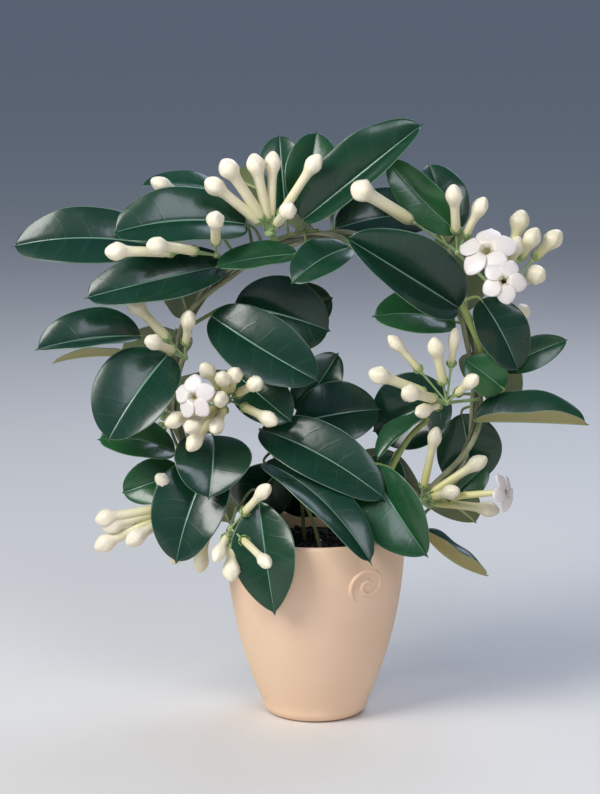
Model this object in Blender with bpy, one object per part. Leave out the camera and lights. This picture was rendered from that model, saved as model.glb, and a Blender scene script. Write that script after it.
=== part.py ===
"""Madagascar jasmine (Stephanotis floribunda) trained round a wire hoop in a cream ceramic pot.

Metres, +Z up. The origin is the centre of the pot's foot, and the plant's front looks along -Y.
"""
import math
import random

import bmesh
import bpy
from mathutils import Vector

MM = 0.001
# Pieces that touch on the real plant keep this gap.
GAP = 0.3 * MM

# Pot: a cachepot whose side curves in to a small flat foot.
POT_HEIGHT = 136 * MM
RIM_RADIUS = 65 * MM
FOOT_RADIUS = 31 * MM
FOOT_ROUNDING = 8 * MM
WALL = 5 * MM
FLOOR = 7 * MM
POT_SIDES = 32
# The side stands this far in at the foot, and the power says how fast it comes out to the rim.
SIDE_TAPER = 30 * MM
SIDE_POWER = 2.1
# Heights in mm of the rings of its outer side, and of its inner side and the soil.
OUTER_RINGS = (20, 36, 54, 76, 104)
INNER_RINGS = (28, 60, 104)

# Scroll in low relief under the rim, to the right of the front.
SCROLL_TURN = math.radians(36)
SCROLL_HEIGHT = 106 * MM
SCROLL_WIDE = 16 * MM
SCROLL_TALL = 13.5 * MM
SCROLL_TURNS = 1.65
SCROLL_THICK = 1.8 * MM
SCROLL_STEPS = 24

# Soil: peat filled to just under the rim.
SOIL_TOP = 123 * MM
SOIL_LUMP = 1.8 * MM

# Hoop: a wire ring with two legs in the soil.
HOOP_X = 8 * MM
HOOP_Z = 239 * MM
HOOP_RADIUS = 109 * MM
HOOP_END = 152
HOOP_STEPS = 50
LEG_OUT = 36 * MM
LEG_FOOT = 60 * MM
BEND = 12 * MM
WIRE_RADIUS = 1.6 * MM

# Two woody stems twine round the wire, and the leafy shoots lie against them.
STEM_RADIUS = 1.6 * MM
STEM_HELIX = (WIRE_RADIUS + 1.5 * GAP + STEM_RADIUS) / math.cos(math.radians(20))
STEM_TWIST = 6.4
SHOOT_RADIUS = 1.4 * MM
SHOOT_HELIX = STEM_HELIX + STEM_RADIUS + GAP / 2 + SHOOT_RADIUS
ROOT_DEPTH = 60 * MM

# Leaves: thick blades on short round stalks.
BLADE_THICK = 0.8 * MM
STALK_RADIUS = 1.0 * MM

# Flowers: a waxy tube on a thin stalk, closed in a pointed head or open in a star of five lobes.
PEDICEL_RADIUS = 0.9 * MM
TUBE_RADIUS = 2.7 * MM
CUP_RADIUS = 3.3 * MM
HEAD_RADIUS = 6.2 * MM
HEAD_LENGTH = 16 * MM
STAR_RADIUS = 18.5 * MM
STAR_DROP = 3 * MM
LOBES = 5
# One lobe's edge: degrees from its middle, and share of the star's radius.
LOBE_EDGE = ((-36, 0.5), (-21, 0.94), (0, 1.02), (21, 0.94))

# A leaf's row: where its blade starts (right, front, up, in mm), the way it points (degrees
# clockwise from straight up as seen from the front, then degrees of lean towards the front),
# length and width in mm, the way its upper face looks (degrees to the right of the front, then
# degrees up), and the rise of its middle in mm and the fold of its halves in degrees.
# A shoot runs along the hoop (clock angle and side of the hoop at each end: 0 outside, 90 front,
# 180 inside, 270 back) or through points of its own (right, front, up, in mm).
SHOOTS = {
    "shoot_top_left": (("hoop", -50, 20, -24, 40), [
        (-49, 12, 358, -92, 12, 96, 50, 0, 40, 6, 20),
        (-112, -2, 341, -90, 0, 105, 48, 0, 38, 8, 12),
        (-64, 14, 329.5, -101, 14, 103, 44, 0, 40, 6, 14),
        (-68, -22, 378, -85, -3, 58, 30, 0, 75, 4, 15)]),
    "shoot_top": (("hoop", -21, 50, -3, 40), [
        (-10, 12, 360, 49, 4, 109, 50, -10, 10, 3, 15),
        (-7, -7, 364, 8, -14, 60, 42, 10, 10, 3, 20),
        (-21, -13, 359, -5, -14, 62, 40, -10, 10, 3, 20),
        (-13, 20, 338, -97, 12, 60, 32, 0, 62, 3, 12)]),
    "shoot_top_inner": (("hoop", 3, 100, 14, 120), [
        (24, 14, 342, -118, 31, 55, 34, -20, 35, 4, 12)]),
    "shoot_top_right": (("path", (66.8, 0, 334.7), (80, 2, 335), (92, 0, 340), (100, -1, 349)), [
        (100, 8, 352, -44, -3, 72, 30, -20, 15, 3, 14),
        (99, -12, 350, -20, -18, 54, 38, 25, 5, 3, 20)]),
    "shoot_right_inner": (("hoop", 51, 60, 63, 110), [
        (101, 15, 299, -56, 19, 104, 65, 9, 21, 6, 41),
        (99, 9, 288, -83, 18, 63, 38, -10, 38, 4, 14)]),
    "shoot_right": (("hoop", 57, 60, 92, 40), [
        (118, 1, 303, 152, 4, 58, 40, 15, 10, 4, 15),
        (134, -8, 251, 66, -4, 53, 24, 15, 20, 3, 10),
        (134, 9, 240, -52, 6, 36, 30, -10, 25, 3, 12)]),
    "shoot_right_low": (("hoop", 80, 90, 106, 70), [
        (114, 15, 218, 92, 1, 81, 50, 0, 75, 2, 41)]),
    "shoot_right_behind": (("hoop", 86, 250, 104, 270), [
        (97, -14, 230, -116, -6, 62, 58, -15, 15, 4, 14),
        (106, -16, 217, 172, -14, 58, 50, 10, -5, 3, 14)]),
    "shoot_soil_right": (("soil", (30, 12, 60), (31, 12, 124), (44, 15, 152), (52, 16, 178),
                          (66, 14, 204), (80, 12, 218)), [
        (39, 34, 187, 146, 23, 76, 54, -28, 8, 5, 26),
        (77, 14, 220, -129, 16, 46, 30, -65, 35, 3, 20),
        (56, 4, 190, -155, -6, 60, 42, -10, 10, 3, 14)]),
    "shoot_bottom_right": (("hoop", 122, 0, 142, 0), [
        (79, 6, 134, 124, 4, 56, 40, 92, 51, -5, 31),
        (99, -8, 158, 49, -7, 35, 26, 0, 20, 2, 12)]),
    "shoot_soil_centre": (("soil", (4, 18, 60), (4, 18, 124), (-5, 17, 152), (-22, 15, 180),
                           (-34, 11, 202), (-22, 4, 214)), [
        (-39, 18, 212, 116, 20, 105, 46, 10, 30, 7, 16),
        (-36, 24, 189, 128, 32, 113, 38, 25, 47, 13, 18),
        (-14, 0, 213, 81, -4, 62, 48, 0, 25, 4, 14)]),
    "shoot_soil_back": (("soil", (-8, -16, 60), (-8, -16, 124), (-11, -15, 170), (-14, -13, 208)), [
        (-13, -11, 220, 35, -7, 52, 34, -15, 5, 3, 14),
        (-18, -20, 184, 60, -35, 70, 42, 180, 20, 5, 14),
        (-24, -22, 177, 220, -18, 50, 46, 5, -5, 4, 14),
        (-8, -27, 172, 172, -28, 46, 44, -10, -10, 3, 14)]),
    "shoot_left_middle": (("hoop", -102, 100, -86, 120), [
        (-55, 10, 249, 127, 24, 52, 38, 8, 12, 3, 12)]),
    "shoot_left_inner": (("path", (-86.5, 1, 286), (-77, 5, 292), (-68, 5, 297), (-57, 1, 298),
                          (-46, -6, 291)), [
        (-74, 14, 293, 119, 16, 91, 50, 8, 22, 5, 14),
        (-58, 0, 299, 106, -4, 72, 56, 0, 12, 4, 12),
        (-39, -12, 283, 70, -8, 56, 42, 0, 10, 3, 12)]),
    "shoot_left": (("hoop", -98, 40, -68, 20), [
        (-125, 4, 277, -95, 12, 76, 46, 0, 52, 6, 32),
        (-130, -8, 260.5, -94, 0, 60, 36, 0, 104, 3, 12),
        (-105, 20, 266, -144, 22, 76, 64, -24, 12, 5, 18)]),
    "shoot_left_low": (("hoop", -128, 80, -103, 0), [
        (-101, 8, 194, -78, 12, 57, 36, 0, 48, 5, 12),
        (-97, -5, 176, -109, 2, 46, 34, -15, 20, 4, 14),
        (-74, 22, 191, -160, 19, 79, 56, 10, 20, 5, 14),
        (-73, 26, 209, -177, 42, 52, 56, 5, 55, 6, 12)]),
    "shoot_bottom_left": (("hoop", -149, 100, -134, 80), [
        (-40, 56, 168, 171, 14, 82, 42, -35, 5, 4, 12)]),
    "shoot_back_top": (("hoop", -8, 270, 12, 270), [
        (-4, -18, 354, -62, -38, 84, 44, 180, 30, 5, 14),
        (24, -17, 351, 84, -13, 70, 42, 0, 35, 5, 14)]),
    "shoot_back_left": (("hoop", -72, 270, -54, 270), [
        (-92, -18, 292, -30, -45, 82, 44, 180, 25, 5, 14),
        (-98, -18, 276, -140, -42, 84, 46, 190, 20, 5, 14)]),
    "shoot_back_left_low": (("hoop", -124, 270, -106, 270), [
        (-92, -18, 192, -20, -55, 74, 42, 180, 30, 5, 14),
        (-84, -18, 176, 160, -45, 80, 44, 180, 15, 5, 14)]),
    "shoot_back_right": (("hoop", 50, 270, 82, 270), [
        (110, -20, 292, -20, -48, 84, 46, 180, 25, 5, 14),
        (116, -18, 262, 150, -42, 82, 44, 170, 20, 5, 14)]),
    "shoot_back_right_low": (("hoop", 126, 270, 148, 285), [
        (78, -22, 156, -75, -48, 76, 44, 180, 30, 5, 14),
        (88, -20, 154, 130, -42, 58, 38, 170, 20, 5, 14)]),
}

# An umbel: the shoot that bears it, the point where its flower stalks meet (right, front, up, in
# mm), and its closed and its open flowers, each with the way it points (as a leaf does) and its
# length to the tip in mm.
UMBELS = {
    "umbel_top": ("shoot_top", (-32, 16, 353), [
        (-49, 18, 62), (-32, 18, 65), (-12, 10, 58), (2, 2, 57), (32, 13, 67), (34, 60, 53)], []),
    "umbel_top_left": ("shoot_top_left", (-70, 27, 338), [
        (-76, 38, 60), (-86, 18, 80), (2, 55, 58)], []),
    "umbel_behind_left": ("shoot_top_left", (-79, -8, 368), [(-61, 13, 44)], []),
    "umbel_top_right": ("shoot_top_right", (100, 10, 338), [
        (-57, 21, 95), (-5, 18, 52), (25, 13, 45)], []),
    "umbel_right": ("shoot_top_right", (131, 10, 308), [
        (15, -10, 62), (14, 20, 47), (28, 4, 54), (44, -5, 62), (52, 46, 49)],
        [(-20, 44.5, 55), (-7, 72.6, 56)]),
    "umbel_right_low": ("shoot_right_low", (93, 22, 232), [
        (-40, 12, 67), (-65, 21, 66), (-64, 53, 60), (-12, 20, 54), (6, 0, 54), (-97, 50, 36), (40, 40, 40)], []),
    "umbel_bottom_right": ("shoot_bottom_right", (75, 20, 160), [
        (11, 10, 58), (54, 8, 58), (61, 43, 40), (95, 10, 57)], [(77, 16, 64)]),
    "umbel_left_inner": ("shoot_left_middle", (-62, 28, 235), [
        (-29, 41, 46), (-7, 58, 47), (-30, 78, 50), (14, 52, 46), (50, 50, 48), (108, 39, 47),
        (-105, 34, 54), (-117, 54, 53), (-150, 68, 46), (-138, 37, 51)], [(-67, 60, 51)]),
    "umbel_left": ("shoot_left", (-93, 18, 264), [
        (-42, 6, 59), (-54, 48, 46), (7, 30, 42)], []),
    "umbel_bottom_left": ("shoot_bottom_left", (-89, 14, 156), [
        (-111, 12, 76), (-92, 13, 69), (-102, -4, 66), (-116, 34, 54), (-42, 32, 42)], []),
    "umbel_under_left": ("shoot_bottom_left", (-75, 4, 149), [(-142, 5, 48), (-168, 13, 45)], []),
    "umbel_front": ("shoot_bottom_left", (-60, 54, 148), [
        (42, 40, 46), (-146, 48, 38), (-173, 34, 42), (132, 64, 62)], []),
    "umbel_back_top": ("shoot_back_top", (12, -24, 362), [
        (-25, -40, 52), (0, -60, 48), (30, -35, 54), (10, -20, 50)], [(-60, -70, 46)]),
    "umbel_back_left": ("shoot_back_left_low", (-104, -22, 206), [
        (-48, -8, 66), (-50, -60, 50), (-110, -55, 48)], []),
    "umbel_back_right": ("shoot_back_right", (124, -22, 270), [
        (60, -45, 54), (90, -60, 48), (30, -65, 50)], []),
}


def linear(hex_colour):
    """An sRGB colour such as 'E5C9AE' as linear RGBA."""
    values = [int(hex_colour[i:i + 2], 16) / 255 for i in (0, 2, 4)]
    return [v / 12.92 if v <= 0.04045 else ((v + 0.055) / 1.055) ** 2.4 for v in values] + [1.0]


def material(name, hex_colour, roughness, metallic=0.0):
    made = bpy.data.materials.new(name)
    made.use_nodes = True
    shader = made.node_tree.nodes["Principled BSDF"]
    shader.inputs["Base Color"].default_value = linear(hex_colour)
    shader.inputs["Roughness"].default_value = roughness
    shader.inputs["Metallic"].default_value = metallic
    return made


def point(right, front, up):
    """A point given in mm to the right, to the front and up."""
    return Vector((right, -front, up)) * MM


def direction(heading, lean):
    """A unit vector, heading degrees clockwise from up and leaning towards the front."""
    h, l = math.radians(heading), math.radians(lean)
    return Vector((math.sin(h) * math.cos(l), -math.sin(l), math.cos(h) * math.cos(l)))


def facing(right, up):
    """A unit vector that looks to the front, turned right and tipped up by these degrees."""
    r, u = math.radians(right), math.radians(up)
    return Vector((math.sin(r) * math.cos(u), -math.cos(r) * math.cos(u), math.sin(u)))


def bezier(a, b, c, d, steps):
    """Points of a cubic curve, both ends included."""
    found = []
    for i in range(steps + 1):
        t = i / steps
        s = 1 - t
        found.append(a * s ** 3 + b * 3 * s * s * t + c * 3 * s * t * t + d * t ** 3)
    return found


def smooth_path(points, steps):
    """A smooth curve through the points, each stretch in so many steps."""
    found = [points[0]]
    for i in range(len(points) - 1):
        before = points[max(i - 1, 0)]
        after = points[min(i + 2, len(points) - 1)]
        a, b = points[i], points[i + 1]
        found += bezier(a, a + (b - before) / 6, b - (after - a) / 6, b, steps)[1:]
    return found


def on_hoop(clock, side=0.0, away=0.0):
    """A point at a clock angle of the hoop, off its wire by away towards a side of it."""
    c, s = math.radians(clock), math.radians(side)
    outward = Vector((math.sin(c), 0, math.cos(c)))
    centre = Vector((HOOP_X, 0, HOOP_Z))
    return centre + outward * (HOOP_RADIUS + away * math.cos(s)) + Vector((0, -away * math.sin(s), 0))


def new_object(name, bm, look, smooth=True):
    """Close a bmesh into an object of the scene."""
    mesh = bpy.data.meshes.new(name)
    bm.normal_update()
    bm.to_mesh(mesh)
    bm.free()
    mesh.materials.append(look)
    made = bpy.data.objects.new(name, mesh)
    bpy.context.scene.collection.objects.link(made)
    if smooth:
        mesh.shade_smooth()
        mesh.set_sharp_from_angle(angle=math.radians(40))
    return made


def rod(path, radii, sides):
    """A round bar along a path, its radius given at each point, with closed ends."""
    bm = bmesh.new()
    rings = []
    across = None
    for i, place in enumerate(path):
        along = (path[min(i + 1, len(path) - 1)] - path[max(i - 1, 0)]).normalized()
        if across is None:
            across = along.orthogonal()
        across = (across - along * across.dot(along)).normalized()
        other = along.cross(across)
        ring = []
        for k in range(sides):
            turn = math.tau * k / sides
            reach = across * math.cos(turn) + other * math.sin(turn)
            ring.append(bm.verts.new(place + reach * radii[i]))
        rings.append(ring)
    for low, high in zip(rings, rings[1:]):
        for k in range(sides):
            bm.faces.new((low[k], low[(k + 1) % sides], high[(k + 1) % sides], high[k]))
    bm.faces.new(list(reversed(rings[0])))
    bm.faces.new(rings[-1])
    return bm


def even_rod(path, radius, sides):
    return rod(path, [radius] * len(path), sides)


def turned(profile, steps):
    """A closed body turned round the Z axis from an outline of (radius, height) pairs."""
    bm = bmesh.new()
    verts = [bm.verts.new((radius, 0, height)) for radius, height in profile]
    edges = [bm.edges.new(pair) for pair in zip(verts, verts[1:])]
    bmesh.ops.spin(bm, geom=verts + edges, cent=(0, 0, 0), axis=(0, 0, 1), angle=math.tau, steps=steps)
    bmesh.ops.remove_doubles(bm, verts=bm.verts, dist=0.01 * MM)
    bmesh.ops.recalc_face_normals(bm, faces=bm.faces)
    return bm


def fuse(name, pieces, look):
    """One body from overlapping pieces, each a bmesh."""
    joined = new_object(name, pieces[0], look)
    group = bpy.data.collections.new(name + "_pieces")
    bpy.context.scene.collection.children.link(group)
    for i, piece in enumerate(pieces[1:]):
        part = new_object(f"{name}_piece_{i}", piece, look)
        bpy.context.scene.collection.objects.unlink(part)
        group.objects.link(part)
    union = joined.modifiers.new("union", "BOOLEAN")
    union.operation = "UNION"
    union.operand_type = "COLLECTION"
    union.collection = group
    union.solver = "MANIFOLD"
    apply_modifiers(joined)
    for part in list(group.objects):
        bpy.data.objects.remove(part)
    bpy.data.collections.remove(group)
    return joined


def apply_modifiers(item):
    shape = item.evaluated_get(bpy.context.evaluated_depsgraph_get())
    mesh = bpy.data.meshes.new_from_object(shape)
    old = item.data
    item.modifiers.clear()
    item.data = mesh
    bpy.data.meshes.remove(old)
    mesh.name = item.name
    mesh.shade_smooth()
    mesh.set_sharp_from_angle(angle=math.radians(40))


def pot_radius(height):
    """Radius of the pot's outer side at a height."""
    return RIM_RADIUS - SIDE_TAPER * (1 - height / POT_HEIGHT) ** SIDE_POWER


def make_pot(look):
    corner = pot_radius(FOOT_ROUNDING) - FOOT_RADIUS
    profile = [(0, 0)]
    for i in range(4):
        a = math.radians(30 * i)
        profile.append((FOOT_RADIUS + corner * math.sin(a), FOOT_ROUNDING * (1 - math.cos(a))))
    profile += [(pot_radius(h * MM), h * MM) for h in OUTER_RINGS]
    lip = WALL / 2
    for i in range(4):
        a = math.radians(60 * i)
        profile.append((RIM_RADIUS - lip + lip * math.cos(a), POT_HEIGHT - lip + lip * math.sin(a)))
    profile += [(pot_radius(h * MM) - WALL, h * MM) for h in reversed(INNER_RINGS)]
    profile.append((pot_radius(FLOOR + FOOT_ROUNDING) - WALL - 3 * MM, FLOOR + 2 * MM))
    profile.append((0, FLOOR))
    body = turned(profile, POT_SIDES)
    return fuse("pot", [body, make_scroll()], look)


def make_scroll():
    """A raised spiral on the pot's side, wider than it is tall."""
    path = []
    radii = []
    for i in range(SCROLL_STEPS + 1):
        t = i / SCROLL_STEPS
        reach = 0.1 + 0.9 * t
        angle = SCROLL_TURNS * math.tau * t
        height = SCROLL_HEIGHT + SCROLL_TALL * reach * math.sin(angle)
        radius = pot_radius(height) - 0.3 * MM
        turn = SCROLL_TURN + SCROLL_WIDE * reach * math.cos(angle) / radius
        path.append(Vector((radius * math.sin(turn), -radius * math.cos(turn), height)))
        radii.append(SCROLL_THICK * min(1, 0.55 + 0.15 * min(i, SCROLL_STEPS - i)))
    return rod(path, radii, 4)


def make_soil(look, roots):
    """Peat that fills the pot, with a plain hole for the hoop's legs and each stem."""
    chance = random.Random(4)
    floor = FLOOR + GAP
    profile = [(0, floor), (pot_radius(FLOOR + FOOT_ROUNDING) - WALL - 4 * MM, floor + 2 * MM)]
    profile += [(pot_radius(h * MM) - WALL - GAP, h * MM) for h in INNER_RINGS]
    edge = pot_radius(SOIL_TOP) - WALL - 2 * GAP
    profile += [(edge * share, SOIL_TOP) for share in (1, 0.78, 0.52, 0.26)]
    profile.append((0, SOIL_TOP))
    bm = turned(profile, POT_SIDES // 2)
    for vert in bm.verts:
        if vert.co.z > SOIL_TOP - MM and vert.co.xy.length < edge * 0.9:
            vert.co.z += chance.uniform(-SOIL_LUMP, SOIL_LUMP)
    soil = new_object("soil", bm, look, smooth=False)
    cutters = []
    for i, (path, radius) in enumerate(roots):
        below = [v for v in path if v.z < SOIL_TOP + SOIL_LUMP]
        below.append(path[len(below)])
        below[0] = below[0] - Vector((0, 0, GAP))
        cutter = new_object(f"hole_{i}", even_rod(below, radius + 1.4 * GAP, 8), look)
        cutter.hide_render = True
        cutter.display_type = "WIRE"
        cut = soil.modifiers.new(f"hole_{i}", "BOOLEAN")
        cut.operation = "DIFFERENCE"
        cut.object = cutter
        cutters.append(cutter)
    apply_modifiers(soil)
    for cutter in cutters:
        bpy.data.objects.remove(cutter)
    return soil


def hoop_path():
    """The wire from the foot of its left leg, round the ring, to the foot of its right leg."""
    ring = [on_hoop(HOOP_END * (2 * i / HOOP_STEPS - 1)) for i in range(HOOP_STEPS + 1)]
    legs = []
    for side, end, near in ((-1, ring[0], ring[1]), (1, ring[-1], ring[-2])):
        x = HOOP_X + side * LEG_OUT
        top = Vector((x, 0, SOIL_TOP - 2 * MM))
        out = (end - near).normalized()
        bend = bezier(end, end + out * BEND, top + Vector((0, 0, BEND)), top, 5)[1:]
        legs.append(bend + [Vector((x, 0, LEG_FOOT))])
    return list(reversed(legs[0])) + ring + legs[1]


def stem_path(start, first, last, side_first):
    """A stem from its root, up to the hoop and round the wire from one clock angle to another."""
    steps = round(abs(last - first) / 6)
    helix = []
    for i in range(steps + 1):
        clock = first + (last - first) * i / steps
        helix.append(on_hoop(clock, side_first + STEM_TWIST * (clock - first), STEM_HELIX))
    foot = point(*start)
    collar = Vector((foot.x, foot.y, SOIL_TOP + 3 * MM))
    out = (helix[0] - helix[1]).normalized()
    rise = bezier(collar, collar + Vector((0, 0, BEND)), helix[0] + out * BEND, helix[0], 5)
    return [foot] + rise[:-1] + helix


def shoot_path(route):
    """A shoot along the hoop, or through points of its own."""
    kind = route[0]
    if kind == "hoop":
        first, side_first, last, side_last = route[1:]
        steps = max(2, round(abs(last - first) / 8))
        found = []
        for i in range(steps + 1):
            t = i / steps
            side = side_first + (side_last - side_first) * t
            found.append(on_hoop(first + (last - first) * t, side, SHOOT_HELIX))
        return found
    points = [point(*p) for p in route[1:]]
    if kind == "soil":
        return [points[0]] + smooth_path(points[1:], 2)
    return smooth_path(points, 2)


def nearest(path, place):
    """The nearest point of a path to a place."""
    spots = []
    for a, b in zip(path, path[1:]):
        line = b - a
        t = min(1, max(0, (place - a).dot(line) / line.length_squared))
        spots.append(a + line * t)
    return min(spots, key=lambda spot: (place - spot).length)


def leaf_frame(row):
    """A leaf's start, its axes along, across and up from the blade, and its sizes in metres."""
    right, front, up, heading, lean, length, width, looks_right, looks_up, arch, fold = row
    along = direction(heading, lean)
    look = facing(looks_right, looks_up)
    above = (look - along * look.dot(along)).normalized()
    across = above.cross(along)
    return (point(right, front, up), along, across, above,
            length * MM, width * MM, arch * MM, math.radians(fold))


def half_width(t):
    """Half a leaf's width at t along it, as a share of its greatest half width."""
    return math.sin(math.pi * t ** 0.92) ** 0.56 if 0 < t < 1 else 0.0


def make_blade(row):
    """A leaf blade: an oval with a small point, folded along its midrib and arched."""
    start, along, across, above, length, width, arch, fold = leaf_frame(row)
    thick = above * (BLADE_THICK / 2)
    lengths = [0, 0.09, 0.33, 0.64, 0.91, 1]
    bm = bmesh.new()
    rows = []
    for t in lengths:
        middle = start + along * (length * t) + above * (arch * 4 * t * (1 - t))
        half = width / 2 * half_width(t)
        shares = (-1, 0, 1) if half else (0,)
        line = []
        for share in shares:
            reach = across * (share * half * math.cos(fold))
            rise = above * (half * math.sin(fold) * abs(share))
            place = middle + reach + rise
            line.append((bm.verts.new(place + thick), bm.verts.new(place - thick)))
        rows.append(line)
    for low, high in zip(rows, rows[1:]):
        wide = high if len(high) > 1 else low
        for k in range(len(wide) - 1):
            corners = [low[k], low[k + 1]] if len(low) > 1 else [low[0]]
            corners += [high[k + 1], high[k]] if len(high) > 1 else [high[0]]
            if len(corners) == 4:
                a, b, c, d = corners
                split = [(a, b, c), (a, c, d)] if k else [(a, b, d), (b, c, d)]
            else:
                split = [tuple(corners)]
            for a, b, c in split:
                bm.faces.new((a[0], b[0], c[0]))
                bm.faces.new((c[1], b[1], a[1]))
        for k in (0, -1):
            a, b = low[k], high[k]
            edge = [a[0], b[0], b[1], a[1]]
            bm.faces.new(edge if k == 0 else reversed(edge))
    bmesh.ops.triangulate(bm, faces=[f for f in bm.faces if len(f.verts) > 3])
    bmesh.ops.recalc_face_normals(bm, faces=bm.faces)
    return bm


def make_stalk(row, shoot):
    """A leaf's stalk, out of the shoot and on into the blade along its midrib."""
    start, along, _, above, length, _, arch, _ = leaf_frame(row)
    entry = (along + above * (4 * arch / length)).normalized()
    spot = nearest(shoot, start - entry * 8 * MM)
    reach = (start - spot).length
    leave = ((start - entry * reach * 0.4) - spot).normalized()
    curve = bezier(spot, spot + leave * reach * 0.3, start - entry * reach * 0.35, start, 3)
    curve.append(start + entry * 3 * MM)
    count = len(curve) - 1
    return rod(curve, [STALK_RADIUS * (1.15 - 0.35 * i / count) for i in range(count + 1)], 4)


def make_shoot(name, route, leaves, look):
    """A shoot with its leaves, one body."""
    path = shoot_path(route)
    count = len(path) - 1
    radii = [SHOOT_RADIUS * (1 - 0.25 * i / count) for i in range(count + 1)]
    pieces = [rod(path, radii, 5)]
    for row in leaves:
        pieces += [make_stalk(row, path), make_blade(row)]
    return fuse(name, pieces, look)


def flower_line(hub, heading, lean, length):
    """The points of a flower's axis at the given shares: nearly straight, a little bowed up."""
    along = direction(heading, lean)
    lift = Vector((0, 0, 1)) - along * along.z
    return lambda reach: hub + along * reach + lift * (0.05 * reach * (1 - reach / length))


def make_bud(hub, heading, lean, length):
    """A closed flower: stalk, green cup, tube, and a head drawn to a point."""
    length *= MM
    line = flower_line(hub, heading, lean, length)
    head = length - HEAD_LENGTH
    cup = max(0.28 * length, head - 34 * MM)
    stations = [(-0.2 * MM, PEDICEL_RADIUS), (cup, PEDICEL_RADIUS), (cup + 3 * MM, CUP_RADIUS),
                (head, TUBE_RADIUS), (head + 8 * MM, HEAD_RADIUS), (length, 1.5 * MM)]
    return rod([line(reach) for reach, _ in stations], [radius for _, radius in stations], 5)


def make_open_flower(hub, heading, lean, length):
    """An open flower: stalk, cup, tube, and a star of five broad lobes."""
    length *= MM
    line = flower_line(hub, heading, lean, length)
    cup = 0.3 * length
    stations = [(-0.2 * MM, PEDICEL_RADIUS), (cup, PEDICEL_RADIUS), (cup + 3 * MM, CUP_RADIUS),
                (length - 5 * MM, TUBE_RADIUS), (length - 0.1 * MM, TUBE_RADIUS * 1.6)]
    tube = rod([line(reach) for reach, _ in stations], [radius for _, radius in stations], 5)
    return [tube, make_star(line(length), direction(heading, lean))]


def make_star(centre, along):
    """The five lobes of an open flower as one thin star, its tips curled a little back."""
    across = along.orthogonal().normalized()
    other = along.cross(across)
    thick = along * (BLADE_THICK / 2)
    outline = []
    for i in range(LOBES):
        for turn, reach in LOBE_EDGE:
            a = math.radians(turn + 360 * i / LOBES)
            out = (across * math.cos(a) + other * math.sin(a)) * (reach * STAR_RADIUS)
            outline.append(centre + out - along * (STAR_DROP * reach ** 2))
    bm = bmesh.new()
    faces = []
    for shift in (thick, -thick):
        middle = bm.verts.new(centre + shift)
        edge = [bm.verts.new(place + shift) for place in outline]
        faces.append(edge)
        for i in range(len(edge)):
            bm.faces.new((middle, edge[i - 1], edge[i]))
    top, bottom = faces
    for i in range(len(top)):
        bm.faces.new((top[i - 1], bottom[i - 1], bottom[i], top[i]))
    bmesh.ops.triangulate(bm, faces=[f for f in bm.faces if len(f.verts) > 3])
    bmesh.ops.recalc_face_normals(bm, faces=bm.faces)
    return bm


def umbel_pieces(shoot, hub, buds, flowers):
    """An umbel's own stalk, from close to the shoot to the hub, and its flowers."""
    centre = point(*hub)
    spot = nearest(shoot, centre)
    away = (centre - spot).normalized()
    start = spot + away * (SHOOT_RADIUS + 1.5 * GAP)
    stalk = [start, start + away * 2 * MM, centre - away * 2 * MM, centre + away * 1.2 * MM]
    pieces = [rod(stalk, [0.7 * MM, 1.3 * MM, 1.3 * MM, 2.4 * MM], 5)]
    pieces += [make_bud(centre, *bud) for bud in buds]
    for flower in flowers:
        pieces += make_open_flower(centre, *flower)
    return pieces


def main():
    for old in list(bpy.data.objects):
        bpy.data.objects.remove(old)

    glaze = material("matt_cream_glaze", "E3C7AD", 0.55)
    peat = material("peat", "17110D", 0.95)
    wire = material("green_coated_wire", "5C6148", 0.5)
    bark = material("young_bark", "747A58", 0.7)
    leaf = material("leaf", "17402F", 0.3)
    wax = material("waxy_petal", "F1E6D4", 0.4)

    ring = hoop_path()
    stems = {"stem_left": stem_path((-20, 9, ROOT_DEPTH / MM), -146, 128, 90),
             "stem_right": stem_path((34, -9, ROOT_DEPTH / MM), 146, -104, 270)}
    new_object("hoop", even_rod(ring, WIRE_RADIUS, 6), wire)
    half = len(ring) // 2
    roots = [(leg, WIRE_RADIUS) for leg in (ring[:half], ring[:half:-1])]
    for name, path in stems.items():
        count = len(path) - 1
        radii = [STEM_RADIUS * (1 - 0.3 * (i / count) ** 3) for i in range(count + 1)]
        new_object(name, rod(path, radii, 5), bark)
        roots.append((path, STEM_RADIUS))

    paths = {}
    for name, (route, leaves) in SHOOTS.items():
        paths[name] = shoot_path(route)
        make_shoot(name, route, leaves, leaf)
        if route[0] == "soil":
            roots.append((paths[name], SHOOT_RADIUS))
    for name, (bearer, hub, buds, flowers) in UMBELS.items():
        fuse(name, umbel_pieces(paths[bearer], hub, buds, flowers), wax)

    make_pot(glaze)
    make_soil(peat, roots)


if __name__ == "__main__":
    main()
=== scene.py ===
"""Looks of a madagascar jasmine trained round a wire hoop in a cream ceramic pot.

Metres, +Z up. The pot's foot stands at the origin, and the plant's front looks along -Y.
"""
import math
import random

import bpy
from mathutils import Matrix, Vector, noise


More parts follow.
